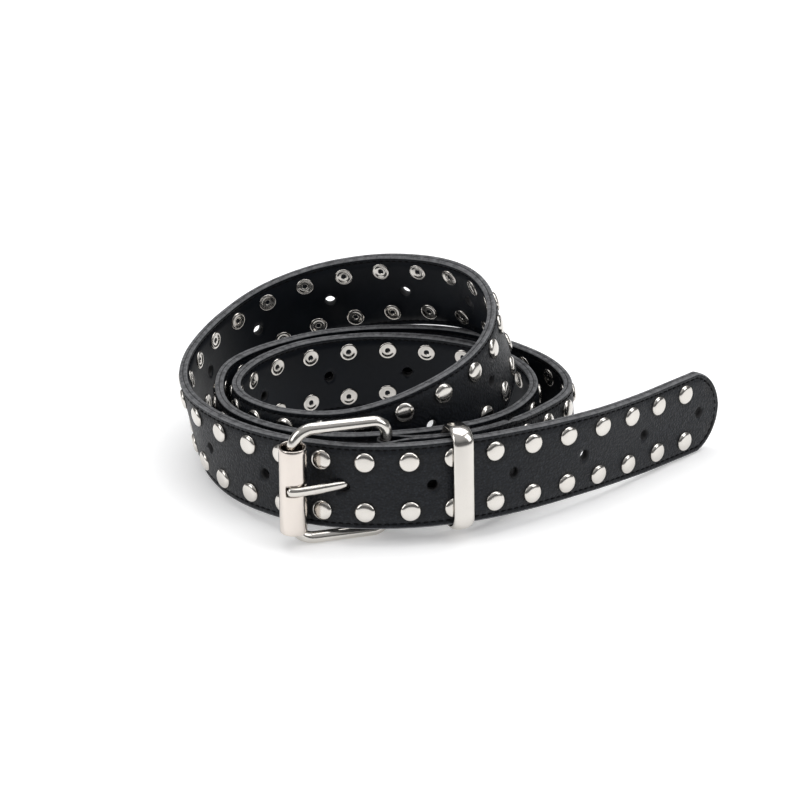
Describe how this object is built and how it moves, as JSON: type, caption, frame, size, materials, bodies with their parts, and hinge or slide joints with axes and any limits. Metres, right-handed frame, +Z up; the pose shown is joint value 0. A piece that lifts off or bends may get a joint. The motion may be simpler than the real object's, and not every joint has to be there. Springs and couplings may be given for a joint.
{
  "type": "studded belt",
  "caption": "Coiled leather belt with two rows of domed metal studs, a roller buckle and a metal keeper, fastened on itself.",
  "frame": {"origin": "middle of the belt's footprint, on the floor it stands on", "axes": "+Z up, +X towards the tongue's tip, -Y towards the buckle side"},
  "size_m": [0.2176, 0.1532, 0.0685],
  "materials": {
    "strap": "fine grained, semi matt, with polished nickel studs",
    "buckle_frame": "polished nickel plate",
    "roller": "polished nickel plate",
    "prong": "polished nickel plate",
    "keeper": "polished nickel plate"
  },
  "bodies": {
    "root": {"strap": "strap", "buckle_frame": "buckle_frame", "roller": "roller", "prong": "prong", "keeper": "keeper"}
  },
  "joints": []
}
